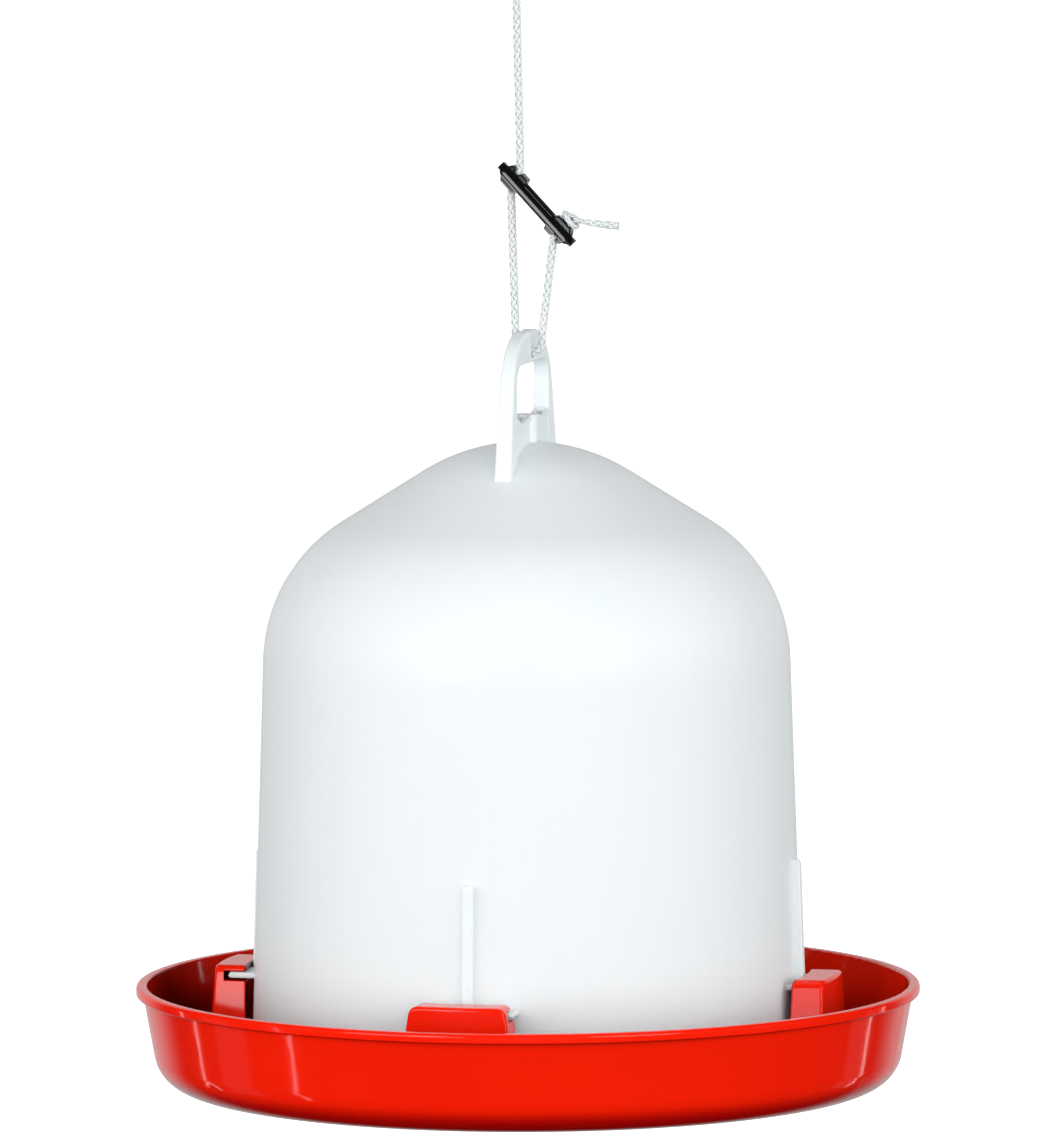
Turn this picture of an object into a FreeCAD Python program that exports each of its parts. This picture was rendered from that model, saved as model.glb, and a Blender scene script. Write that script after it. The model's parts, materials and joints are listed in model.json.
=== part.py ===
"""Hanging poultry drinker: a bell-shaped water fount held in a round drinking tray.

The fount is one moulding: a domed bell, open underneath, with a carrying handle on top and
four lugs with ribs low on its side.  The tray is a second moulding with four hooks that the
lugs lock into when the tray is turned.  A braided cord runs through the handle and back up to
a toggle, the adjuster, that sets the hanging height.

Frame: +Z up, origin at the centre of the tray's underside, millimetres.  Everything but the
plain round forms is drawn in a frame whose handle plate lies in the YZ plane, and is then
turned about Z by the angle "facing".
"""
import FreeCAD, Part
import math
import os

import Sketcher

SIZES = {
    # the round tray
    "rim_radius": 185.0,
    "tray_height": 48.6,
    "tray_skin": 2.6,
    "tray_base_radius": 173.8,
    "tray_draft": 10.26,
    "tray_bend": 18.0,
    "bead_height": 4.7,
    "bead_round": 1.8,
    # the hooks that hold the lugs
    "hook_count": 4,
    "hook_inner": 133.4,
    "hook_outer": 148.3,
    "hook_draft": 4.0,
    "hook_top": 55.6,
    "hook_wall": 4.2,
    "hook_lip": 2.8,
    "hook_lip_inner": 133.4,
    "hook_half_width": 22.6,
    "hook_end_lean": 9.0,
    "hook_corner": 4.0,
    "hook_stop": 5.0,
    "hook_round": 1.6,
    "hook_lip_round": 1.2,
    "hook_inner_round": 0.8,
    "hook_skin": 2.4,
    "slot_floor": 48.5,
    "hook_blank_near": 120.0,
    "hook_blank_far": 160.0,
    # the bell
    "bell_mouth_height": 18.0,
    "bell_mouth_radius": 130.3,
    "bell_draft": 1.87,
    "bell_skin": 2.6,
    "shoulder_height": 202.5,
    "shoulder_round": 78.6,
    "dome_slope": 32.08,
    "dome_top_round": 92.6,
    # the lugs and their ribs
    "lug_tip": 141.7,
    "lug_under": 50.0,
    "lug_thick": 2.6,
    "lug_short_side": 17.1,
    "lug_long_side": 24.9,
    "rib_width": 5.0,
    "rib_top": 110.0,
    "rib_reach_top": 131.2,
    "rib_reach_low": 133.0,
    "rib_shift": 1.5,
    "rib_root": 6.0,
    "rib_top_ease": 1.5,
    "lug_round": 0.8,
    # the handle plate on top of the bell
    "handle_top": 357.1,
    "handle_foot": 270.0,
    "handle_foot_half": 54.3,
    "handle_lean": 12.4,
    "handle_shoulder": 34.0,
    "handle_thick_low": 8.4,
    "handle_thick_top": 6.6,
    "handle_edge_round": 1.3,
    "grip_edge_round": 0.91,
    "foot_round": 1.0,
    "grip_half": 32.7,
    "grip_low": 317.6,
    "grip_high": 342.1,
    "grip_corner": 10.0,
    "grip_low_corner": 2.0,
    "web_recess": 1.3,
    "web_half_low": 43.0,
    "web_top": 315.0,
    "post_radius": 5.6,
    "dip_depth": 2.8,
    "dip_place": 0.64,
    "well_half": 1.7,
    "well_depth": 9.0,
    "well_end_wall": 1.2,
    "cord_hole_height": 347.1,
    "cord_hole_radius": 3.0,
    "groove_half": 6.2,
    "groove_depth": 1.9,
    # the cord and its toggle
    "cord_radius": 2.05,
    "cord_end_height": 540.0,
    "cord_end_x": -4.4,
    "cord_bend": 2.6,
    "top_bend": 12.0,
    "cord_gap": 0.3,
    "mouth_reach": 6.1,
    "eye_bend": 4.4,
    "eye_rise": 8.5,
    "left_leg_x": -4.8,
    "right_leg_x": 8.0,
    "toggle_length": 50.5,
    "toggle_round": 3.25,
    "toggle_tilt": 47.0,
    "toggle_x": 5.7,
    "toggle_height": 416.5,
    "toggle_hole_offset": 14.9,
    "toggle_hole_lean": 22.0,
    "toggle_hole_radius": 2.5,
    "boss_inner": 9.6,
    "boss_outer": 22.2,
    "boss_reach": 4.9,
    "boss_deep": 3.6,
    "boss_ease": 1.2,
    "notch_place": 17.1,
    "notch_half": 1.5,
    "nub_length": 3.4,
    "nub_half": 1.95,
    "knot_along": 5.2,
    "knot_across": 2.4,
    "knot_deep": 3.6,
    "knot_offset": 8.1,
    "knot_shift": 5.8,
    "tail_bend_x": 6.5,
    "tail_bend_drop": 0.4,
    "tail_bend": 4.0,
    "tail_x": 44.3,
    "tail_height": 407.4,
    # how far the handle plate is turned from the front
    "facing": -13.0,
}

CLEAR = 1.0                # how far a tool or a test goes beyond the surface that it is for
PLATE_TOOL_HALF = 10.0     # half depth of the tools that cut right through the handle plate
FINGER_EDGE = 2.5          # edges nearer the plate's middle than this are not its long face edges

doc = FreeCAD.newDocument("poultry_drinker")
Vector = FreeCAD.Vector
Rotation = FreeCAD.Rotation
Placement = FreeCAD.Placement
UP = Vector(0, 0, 1)
FRONT_PLANE = Placement(Vector(), Rotation(Vector(1, 0, 0), 90))      # sketch x is X, y is Z
SIDE_PLANE = Placement(Vector(), Rotation(Vector(1, 1, 1), 120))      # sketch x is Y, y is Z


class Size:
    """A length or angle that knows its value and its formula in terms of the sheet's cells."""

    def __init__(self, value, formula):
        self.value = value
        self.formula = formula

    def __add__(self, other):
        other = as_size(other)
        return Size(self.value + other.value, f"({self.formula} + {other.formula})")

    def __sub__(self, other):
        other = as_size(other)
        return Size(self.value - other.value, f"({self.formula} - {other.formula})")

    def __mul__(self, other):
        other = as_size(other)
        return Size(self.value * other.value, f"({self.formula} * {other.formula})")

    def __truediv__(self, other):
        other = as_size(other)
        return Size(self.value / other.value, f"({self.formula} / {other.formula})")

    def __neg__(self):
        return Size(-self.value, f"(0 - {self.formula})")


def as_size(number):
    return number if isinstance(number, Size) else Size(float(number), repr(float(number)))


def sine(angle):
    return Size(math.sin(math.radians(angle.value)), f"sin({angle.formula})")


def cosine(angle):
    return Size(math.cos(math.radians(angle.value)), f"cos({angle.formula})")


def tangent(angle):
    return Size(math.tan(math.radians(angle.value)), f"tan({angle.formula})")


def make_sheet():
    sheet = doc.addObject("Spreadsheet::Sheet", "Sizes")
    for row, (name, value) in enumerate(SIZES.items(), start=1):
        sheet.set(f"A{row}", name)
        sheet.set(f"B{row}", str(value))
        sheet.setAlias(f"B{row}", name)
    doc.recompute()
    return {name: Size(float(value), f"Sizes.{name}") for name, value in SIZES.items()}


S = make_sheet()


# ---------------------------------------------------------------- drawing helpers

def pin_point(sketch, geometry, end, x, y):
    """Holds one end of a line or arc at (x, y) from the sketch's origin, by formula."""
    for kind, axis, size in (("DistanceX", -2, x), ("DistanceY", -1, y)):
        size = as_size(size)
        if size.value == 0.0:
            sketch.addConstraint(Sketcher.Constraint("PointOnObject", geometry, end, axis))
            continue
        index = sketch.addConstraint(
            Sketcher.Constraint(kind, -1, 1, geometry, end, size.value))
        sketch.setExpression(f"Constraints[{index}]", size.formula)


def add_arc(sketch, start, finish, radius, left):
    """An arc between two points, with its centre on the left or right of the way travelled."""
    chord = finish - start
    half = chord.Length / 2
    across = Vector(-chord.y, chord.x, 0).normalize() * (1 if left else -1)
    centre = (start + finish) / 2 + across * math.sqrt(max(radius * radius - half * half, 0))
    first, last = (start, finish) if left else (finish, start)
    angles = [math.atan2(p.y - centre.y, p.x - centre.x) for p in (first, last)]
    circle = Part.Circle(centre, UP, radius)
    return sketch.addGeometry(Part.ArcOfCircle(circle, angles[0], angles[1]), False)


def draw_outline(sketch, corners, arcs=None):
    """Closed outline through corners.  arcs maps a corner's index to (radius, left) when the
    stretch from it to the next corner is an arc."""
    arcs = arcs or {}
    places = [Vector(as_size(x).value, as_size(y).value, 0) for x, y in corners]
    ends = []
    for i, start in enumerate(places):
        finish = places[(i + 1) % len(places)]
        if i in arcs:
            radius, left = arcs[i]
            geometry = add_arc(sketch, start, finish, radius.value, left)
            index = sketch.addConstraint(Sketcher.Constraint("Radius", geometry, radius.value))
            sketch.setExpression(f"Constraints[{index}]", radius.formula)
            ends.append((geometry, 1, 2) if left else (geometry, 2, 1))
        else:
            geometry = sketch.addGeometry(Part.LineSegment(start, finish), False)
            ends.append((geometry, 1, 2))
    for i, (geometry, first, _) in enumerate(ends):
        before, _, last = ends[i - 1]
        sketch.addConstraint(Sketcher.Constraint("Coincident", before, last, geometry, first))
        pin_point(sketch, geometry, first, *corners[i])
    return sketch


def loose_sketch(name, placement, corners, arcs=None):
    sketch = doc.addObject("Sketcher::SketchObject", name)
    sketch.Placement = placement
    return draw_outline(sketch, corners, arcs)


def origin_plane(body, role):
    return next(f for f in body.Origin.OriginFeatures if f.Role == role)


def turned_body(name, corners, arcs=None):
    """A PartDesign body: the outline, drawn as (radius, height), turned once round Z."""
    body = doc.addObject("PartDesign::Body", name)
    sketch = body.newObject("Sketcher::SketchObject", name + "_profile")
    sketch.AttachmentSupport = (origin_plane(body, "XZ_Plane"), [""])
    sketch.MapMode = "FlatFace"
    draw_outline(sketch, corners, arcs)
    turn = body.newObject("PartDesign::Revolution", name + "_turn")
    turn.Profile = sketch
    turn.ReferenceAxis = (sketch, ["V_Axis"])
    turn.Angle = 360.0
    body.Tip = turn
    return body


def prism(name, placement, corners, depth_from, depth_to, arcs=None):
    """The outline pushed along its plane's normal, from one depth to another."""
    sketch = loose_sketch(name + "_outline", placement, corners, arcs)
    solid = doc.addObject("Part::Extrusion", name)
    solid.Base = sketch
    solid.DirMode = "Normal"
    solid.Solid = True
    solid.setExpression("LengthFwd", as_size(depth_to).formula)
    solid.setExpression("LengthRev", (-as_size(depth_from)).formula)
    return solid


def fuse(name, shapes):
    joined = doc.addObject("Part::MultiFuse", name)
    joined.Shapes = shapes
    return joined


def cut(name, base, tool):
    result = doc.addObject("Part::Cut", name)
    result.Base = base
    result.Tool = tool
    return result


def common(name, first, second):
    result = doc.addObject("Part::Common", name)
    result.Base = first
    result.Tool = second
    return result


def round_edges(name, base, radius, wanted):
    """Fillets every edge of base that wanted(edge) picks."""
    doc.recompute()
    chosen = [i for i, edge in enumerate(base.Shape.Edges, start=1) if wanted(edge)]
    fillet = doc.addObject("Part::Fillet", name)
    fillet.Base = base
    fillet.Edges = [(i, radius.value, radius.value) for i in chosen]
    doc.recompute()
    return fillet


def turned_copy(source, name, degrees):
    """The same solid turned about Z, for features that repeat round the drinker."""
    link = doc.addObject("App::Link", name)
    link.LinkedObject = source
    link.LinkTransform = True
    link.Placement = Placement(Vector(), Rotation(UP, degrees))
    return link


def around(name, source):
    """Four copies of one solid, evenly spaced round Z."""
    count = int(S["hook_count"].value)
    copies = [turned_copy(source, f"{name}_{i}", 360.0 / count * i) for i in range(count)]
    return fuse(name, copies)


def finished(label, shape):
    """A sub-part: the shape turned to the way the drinker faces, under its own label."""
    piece = doc.addObject("Part::Compound", label)
    piece.Links = [shape]
    piece.Placement = Placement(Vector(), Rotation(UP, S["facing"].value))
    piece.Label = label
    return piece


# ---------------------------------------------------------------- the tray

def tray_shell():
    """The round dish: flat base, bent edge, leaning wall and a bead round the rim."""
    skin, bend, lean = S["tray_skin"], S["tray_bend"], S["tray_draft"]
    top, bead, edge = S["tray_height"], S["bead_height"], S["bead_round"]
    base, rim = S["tray_base_radius"], S["rim_radius"]
    centre = base + bend * tangent(lean) - bend / cosine(lean)
    inside = base + top * tangent(lean) - skin / cosine(lean)
    small = edge * 0.5
    inner_bend = bend - skin
    corners = [
        (0, 0),
        (centre, 0),
        (centre + bend * cosine(lean), bend - bend * sine(lean)),
        (base + (top - bead) * tangent(lean), top - bead),
        (rim - small, top - bead),
        (rim, top - bead + small),
        (rim, top - edge),
        (rim - edge, top),
        (inside + small, top),
        (inside - small * tangent(lean), top - small),
        (centre + inner_bend * cosine(lean), bend - inner_bend * sine(lean)),
        (centre, skin),
        (0, skin),
    ]
    arcs = {1: (bend, True), 4: (small, True), 6: (edge, True), 8: (small, True),
            10: (inner_bend, False)}
    return turned_body("tray_shell", corners, arcs)


def corner_round(setback, lean):
    """Radius of the arc that eases a level top into a side leaning out, from equal setbacks."""
    return setback * tangent(lean * 0.5 + 45)


def hook_ring():
    """The hooks' cross-section turned full circle: block, outer wall and the lip over the slot."""
    top, lip, outer, inner = S["hook_top"], S["hook_lip"], S["hook_outer"], S["hook_inner"]
    foot = S["tray_skin"] * 0.5
    wall_inside = outer - S["hook_wall"]
    return turned_body("hook_ring", [
        (inner, foot),
        (outer + (top - foot) * tangent(S["hook_draft"]), foot),
        (outer, top),
        (S["hook_lip_inner"], top),
        (S["hook_lip_inner"], top - lip),
        (wall_inside, top - lip),
        (wall_inside, S["slot_floor"]),
        (inner, S["slot_floor"]),
    ])


def solid_ring(name, inner, outer, low, high):
    return turned_body(name, [(inner, low), (outer, low), (outer, high), (inner, high)])


def hook_outline(shrink, low, high):
    """Front view of one hook: ends that lean in and, at full size, rounded top corners."""
    lean, top = S["hook_end_lean"], S["hook_top"]
    half_low = S["hook_half_width"] + (top - low) * tangent(lean) - shrink
    half_high = S["hook_half_width"] + (top - high) * tangent(lean) - shrink
    corner = S["hook_corner"]
    side, down = corner * sine(lean), corner * cosine(lean)
    radius = corner_round(corner, lean)
    return [
        (-half_low, low),
        (half_low, low),
        (half_high + side, high - down),
        (half_high - corner, high),
        (corner - half_high, high),
        (-half_high - side, high - down),
    ], {2: (radius, True), 4: (radius, True)}


def keeps_to(edge, radius_at):
    """True for an edge above the foot whose distance from the drinker's axis is radius_at(z)."""
    close = 0.01
    points = edge.discretize(5)
    clear_of_foot = edge.BoundBox.ZMax > S["tray_skin"].value + CLEAR
    return clear_of_foot and all(abs(math.hypot(p.x, p.y) - radius_at(p.z)) < close for p in points)


def on_hook_outside(edge):
    slope = math.tan(math.radians(S["hook_draft"].value))
    top = S["hook_top"].value
    return keeps_to(edge, lambda z: S["hook_outer"].value + (top - z) * slope)


def on_hook_lip(edge):
    """True for the lip's upper edge and ends, but not where the stop meets it underneath."""
    above_stop = edge.BoundBox.ZMax > S["hook_top"].value - S["hook_lip"].value * 0.4
    return above_stop and keeps_to(edge, lambda z: S["hook_lip_inner"].value)


def on_hook_inside(edge):
    return keeps_to(edge, lambda z: S["hook_inner"].value)


def hook():
    """One hook: block, outer wall and lip, with a stop that shuts the slot's trailing end."""
    foot = S["tray_skin"] * 0.5
    near, far = S["hook_blank_near"], S["hook_blank_far"]
    outline, arcs = hook_outline(as_size(0), foot, S["hook_top"])
    blank = prism("hook_blank", FRONT_PLANE, outline, near, far, arcs)
    slotted = common("hook_slotted", hook_ring(), blank)

    stop_edge, beyond = S["hook_half_width"] - S["hook_stop"], S["hook_half_width"] * 2
    stop_outline = [(-beyond, foot), (-stop_edge, foot), (-stop_edge, S["hook_top"]),
                    (-beyond, S["hook_top"])]
    stop_prism = prism("stop_prism", FRONT_PLANE, stop_outline, near, far)
    stop_ring = solid_ring("stop_ring", S["hook_inner"], S["hook_outer"] - S["hook_wall"] * 0.5,
                           foot, S["hook_top"] - S["hook_lip"] * 0.5)
    stop = common("hook_stop", common("stop_block", stop_ring, stop_prism), blank)

    sharp = fuse("hook_sharp", [slotted, stop])
    outside = round_edges("hook_outside", sharp, S["hook_round"], on_hook_outside)
    lipped = round_edges("hook_lip", outside, S["hook_lip_round"], on_hook_lip)
    return round_edges("hook", lipped, S["hook_inner_round"], on_hook_inside)


def tray():
    below = as_size(-CLEAR)
    core_top = S["slot_floor"] - S["hook_skin"]
    outline, arcs = hook_outline(S["hook_skin"], below, core_top)
    core_prism = prism("core_prism", FRONT_PLANE, outline, S["hook_blank_near"],
                       S["hook_blank_far"], arcs)
    core_ring = solid_ring("core_ring", S["hook_inner"] + S["hook_skin"],
                           S["hook_outer"] - S["hook_skin"], below, core_top)
    core = common("hook_core", core_ring, core_prism)
    moulding = fuse("tray_moulding", [tray_shell(), around("hooks", hook())])
    return finished("tray", cut("tray_cored", moulding, around("hook_cores", core)))


# ---------------------------------------------------------------- the fount

def bell(name, inset, low):
    """The bell's solid of revolution, its surface moved in by inset and its mouth at low."""
    draft, slope = S["bell_draft"], S["dome_slope"]
    shoulder = S["shoulder_round"] - inset
    crown = S["dome_top_round"] - inset
    start = S["shoulder_height"]
    wall_top = S["bell_mouth_radius"] - (start - S["bell_mouth_height"]) * tangent(draft)
    hub = wall_top - S["shoulder_round"] * cosine(draft)
    hub_height = start - S["shoulder_round"] * sine(draft)
    mouth = wall_top + (start - low) * tangent(draft) - inset / cosine(draft)
    bend_end = (hub + shoulder * sine(slope), hub_height + shoulder * cosine(slope))
    crown_edge = crown * sine(slope)
    crown_height = bend_end[1] + (bend_end[0] - crown_edge) * tangent(slope)
    corners = [
        (0, low),
        (mouth, low),
        (hub + shoulder * cosine(draft), hub_height + shoulder * sine(draft)),
        bend_end,
        (crown_edge, crown_height),
        (0, crown_height + crown - crown * cosine(slope)),
    ]
    return turned_body(name, corners, {2: (shoulder, True), 4: (crown, True)})


def handle_blank():
    """The handle plate's side view: leaning sides, rounded shoulders and a short flat top."""
    top, lean, shoulder = S["handle_top"], S["handle_lean"], S["handle_shoulder"]
    foot, half = S["handle_foot"], S["handle_foot_half"]
    hub = half - (top - shoulder - foot) * tangent(lean) - shoulder / cosine(lean)
    bend = (hub + shoulder * cosine(lean), top - shoulder + shoulder * sine(lean))
    corners = [(-half, foot), (half, foot), bend, (hub, top), (-hub, top), (-bend[0], bend[1])]
    arcs = {2: (shoulder, True), 4: (shoulder, True)}
    return prism("handle_side", SIDE_PLANE, corners, -PLATE_TOOL_HALF, PLATE_TOOL_HALF, arcs)


def handle_taper():
    """The plate seen end on: thicker at its foot than at the grip."""
    low, high = S["handle_thick_low"] * 0.5, S["handle_thick_top"] * 0.5
    corners = [(-low, S["handle_foot"]), (low, S["handle_foot"]),
               (high, S["handle_top"]), (-high, S["handle_top"])]
    half = S["handle_foot_half"] + CLEAR
    return prism("handle_front", FRONT_PLANE, corners, -half, half)


def grip_opening():
    """The finger opening, rounder at its upper corners."""
    half, low, high = S["grip_half"], S["grip_low"], S["grip_high"]
    big, small = S["grip_corner"], S["grip_low_corner"]
    corners = [
        (-half + small, low), (half - small, low), (half, low + small), (half, high - big),
        (half - big, high), (-half + big, high), (-half, high - big), (-half, low + small),
    ]
    arcs = {1: (small, True), 3: (big, True), 5: (big, True), 7: (small, True)}
    return prism("grip_opening", SIDE_PLANE, corners, -PLATE_TOOL_HALF, PLATE_TOOL_HALF, arcs)


def web_pocket(side):
    """The shallow recess below the opening, on one face of the plate."""
    name = "web_pocket_right" if side > 0 else "web_pocket_left"
    half = S["grip_half"]
    deep = S["handle_thick_low"] * 0.5 - S["web_recess"]
    corners = [(-S["web_half_low"], S["handle_foot"]), (S["web_half_low"], S["handle_foot"]),
               (half, S["web_top"]), (-half, S["web_top"])]
    out = as_size(PLATE_TOOL_HALF)
    depths = (deep, out) if side > 0 else (-out, -deep)
    return prism(name, SIDE_PLANE, corners, *depths)


def well(end):
    """The hollow in the web on one side of the post, open at the top; end is -1 in front."""
    near = S["post_radius"]
    far = S["grip_half"] - S["well_end_wall"]
    low, high = S["grip_low"] - S["well_depth"], S["grip_low"] + CLEAR
    corners = [(near * end, low), (far * end, low), (far * end, high), (near * end, high)]
    if end < 0:
        corners = corners[::-1]
    name = "well_front" if end < 0 else "well_back"
    return prism(name, SIDE_PLANE, corners, -S["well_half"], S["well_half"])


def dip(end):
    """The V-shaped dip in the walls of one well, deepest two thirds of the way out."""
    low, high = S["grip_low"], S["grip_low"] + CLEAR
    near, far = S["post_radius"], S["grip_half"] - S["well_end_wall"]
    deepest = near + (far - near) * S["dip_place"]
    corners = [(near * end, low), (deepest * end, low - S["dip_depth"]), (far * end, low),
               (far * end, high), (near * end, high)]
    if end < 0:
        corners = corners[::-1]
    name = "dip_front" if end < 0 else "dip_back"
    return prism(name, SIDE_PLANE, corners, -PLATE_TOOL_HALF, PLATE_TOOL_HALF)


def cord_groove(side):
    """The flared groove that lets the cord's legs swing, on one face of the grip."""
    name = "groove_right" if side > 0 else "groove_left"
    deep = S["handle_thick_top"] * 0.5 - S["groove_depth"]
    foot_half = S["cord_hole_radius"] * 0.6
    foot = S["cord_hole_height"] - S["cord_hole_radius"] * 0.8
    above = S["handle_top"] + CLEAR
    corners = [(-foot_half, foot), (foot_half, foot), (S["groove_half"], above),
               (-S["groove_half"], above)]
    out = as_size(PLATE_TOOL_HALF)
    depths = (deep, out) if side > 0 else (-out, -deep)
    return prism(name, SIDE_PLANE, corners, *depths)


def cylinder(name, radius, length, placement):
    round_bar = doc.addObject("Part::Cylinder", name)
    round_bar.setExpression("Radius", as_size(radius).formula)
    round_bar.setExpression("Height", as_size(length).formula)
    round_bar.Placement = placement
    return round_bar


def on_outer_edge(edge):
    """True for the plate's long outer edges, which the hand meets."""
    taper = 1.2
    shortest = 12.0
    runs_into_foot = 30.0
    above_grip = 8.0
    box, middle = edge.BoundBox, edge.CenterOfMass
    along_face = box.XLength < taper and abs(middle.x) > FINGER_EDGE
    high = box.ZMin > S["handle_foot"].value + CLEAR or edge.Length > runs_into_foot
    beyond = (abs(middle.y) > S["grip_half"].value + CLEAR
              or middle.z > S["grip_high"].value + above_grip)
    return along_face and high and beyond and edge.Length > shortest


def on_grip_edge(edge):
    """True for the long edges round the finger opening."""
    shortest = 8.0
    above_floor = 3.0
    middle = edge.CenterOfMass
    inside = abs(middle.y) < S["grip_half"].value + CLEAR / 2
    floor, ceiling = S["grip_low"].value + above_floor, S["grip_high"].value + CLEAR / 2
    level = floor < middle.z < ceiling
    return inside and level and abs(middle.x) > FINGER_EDGE and edge.Length > shortest


def handle():
    plate = common("handle_plate", handle_blank(), handle_taper())
    rounded = round_edges("handle_rounded", plate, S["handle_edge_round"], on_outer_edge)
    opened = cut("handle_opened", rounded, grip_opening())
    soft = round_edges("handle_soft", opened, S["grip_edge_round"], on_grip_edge)
    lowered = cut("handle_web", soft, fuse("web_pockets", [web_pocket(1), web_pocket(-1)]))
    post = cylinder("handle_post", S["post_radius"], S["grip_low"] - S["handle_foot"],
                    Placement(Vector(0, 0, S["handle_foot"].value), Rotation()))
    with_post = fuse("handle_with_post", [lowered, post])
    side_hole = Placement(Vector(-PLATE_TOOL_HALF, 0, S["cord_hole_height"].value),
                          Rotation(Vector(0, 1, 0), 90))
    hole = cylinder("cord_hole", S["cord_hole_radius"], PLATE_TOOL_HALF * 2, side_hole)
    hollows = [well(-1), well(1), dip(-1), dip(1)]
    tools = fuse("handle_tools", [hole, cord_groove(1), cord_groove(-1)] + hollows)
    return cut("handle", with_post, tools)


def lugs():
    """Four tongues low on the bell, reaching further round on their leading side."""
    low, high = S["lug_under"], S["lug_under"] + S["lug_thick"]
    inner = S["bell_mouth_radius"] - S["bell_skin"] * 0.5 - CLEAR
    tip, nose = S["lug_tip"], S["lug_thick"] * 0.45
    ring = turned_body("lug_ring", [
        (inner, low), (tip - nose, low), (tip, low + nose), (tip, high - nose),
        (tip - nose, high), (inner, high)], {1: (nose, True), 3: (nose, True)})
    short, long = S["lug_short_side"], S["lug_long_side"]
    outline = [(-short, low - CLEAR), (long, low - CLEAR), (long, high + CLEAR),
               (-short, high + CLEAR)]
    blank = prism("lug_blank", FRONT_PLANE, outline, S["hook_blank_near"] - CLEAR * 10,
                  S["hook_blank_far"])
    lug = common("lug_sharp", ring, blank)
    reach, level = S["bell_mouth_radius"].value, 0.2
    rounded = round_edges(
        "lug", lug, S["lug_round"],
        lambda edge: edge.BoundBox.XLength < level and edge.BoundBox.YMin < -reach)
    return around("lugs", rounded)


def ribs():
    """Four upright ribs that carry the lugs' load up the bell's side."""
    inside = S["bell_mouth_radius"] - S["rib_root"]
    low, high, ease = S["lug_under"] + S["lug_thick"] * 0.5, S["rib_top"], S["rib_top_ease"]
    corners = [(-S["rib_reach_low"], low), (-inside, low), (-inside, high),
               (-S["rib_reach_top"] + ease, high), (-S["rib_reach_top"], high - ease)]
    half = S["rib_width"] * 0.5
    rib = prism("rib_sharp", SIDE_PLANE, corners, S["rib_shift"] - half, S["rib_shift"] + half)
    clear = 2.0
    return around("ribs", round_edges(
        "rib", rib, S["lug_round"],
        lambda edge: (edge.CenterOfMass.y < -inside.value - clear
                      and edge.CenterOfMass.z > low.value + clear)))


def is_foot_edge(edge):
    """True where the handle's faces meet the dome, within the band of heights the foot spans."""
    lowest, highest = S["handle_foot"].value + 13, S["handle_foot"].value + 38
    shortest, least_rise = 3.0, 0.4
    middle, box = edge.CenterOfMass, edge.BoundBox
    near = middle.z > lowest and box.ZMax < highest
    at_plate = abs(middle.x) < S["handle_thick_low"].value
    follows_dome = box.ZLength > least_rise and edge.Length > shortest
    straight = edge.Curve.TypeId == "Part::GeomLine"
    return near and at_plate and follows_dome and not straight


def reservoir():
    outer = bell("bell_outer", as_size(0), S["bell_mouth_height"])
    blended = round_edges("fount_blended", fuse("fount_with_handle", [outer, handle()]),
                          S["foot_round"], is_foot_edge)
    if blended.Shape.isNull() or not blended.Shape.isValid():
        raise RuntimeError("the blend at the handle's foot failed")
    whole = fuse("fount_outside", [blended, ribs(), lugs()])
    cavity = bell("bell_cavity", S["bell_skin"], S["bell_mouth_height"] - S["bell_skin"] * 2)
    return finished("reservoir", cut("fount", whole, cavity))


# ---------------------------------------------------------------- the toggle and the cord

def toggle_frame():
    """The toggle's middle, its direction along the bar and the direction of its cord holes."""
    tilt = math.radians(S["toggle_tilt"].value)
    lean = math.radians(S["toggle_hole_lean"].value)
    middle = Vector(S["toggle_x"].value, 0, S["toggle_height"].value)
    along = Vector(math.cos(tilt), 0, -math.sin(tilt))
    through = Vector(math.sin(lean), 0, math.cos(lean))
    return middle, along, through


def boss_outline(end):
    """Side view of one cord boss: unbroken where the cord leaves it, and notched into two humps
    where the cord comes in.  The two ends of the toggle are each other's half turn."""
    inner, outer, reach = S["boss_inner"], S["boss_outer"], S["boss_reach"]
    ease, bar = S["boss_ease"], S["toggle_round"] * 0.85
    notch, notch_half = S["notch_place"], S["notch_half"]
    hump = notch - notch_half
    smooth_side = [(outer, bar * 0.6), (outer - ease * 0.5, bar), (outer - ease * 2.2, reach),
                   (inner + ease * 2, reach), (inner, bar)]
    notched_side = [(inner + ease * 0.4, -bar), (inner + ease, -reach), (hump - ease * 0.5, -reach),
                    (hump, ease - reach), (hump + ease * 0.3, -bar),
                    (notch + notch_half - ease * 0.3, -bar), (notch + notch_half, ease - reach),
                    (notch + notch_half + ease * 0.5, -reach), (outer - ease, ease * 0.3 - reach),
                    (outer, -bar * 0.6)]
    return [(x * end, y * end) for x, y in smooth_side + notched_side]


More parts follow.
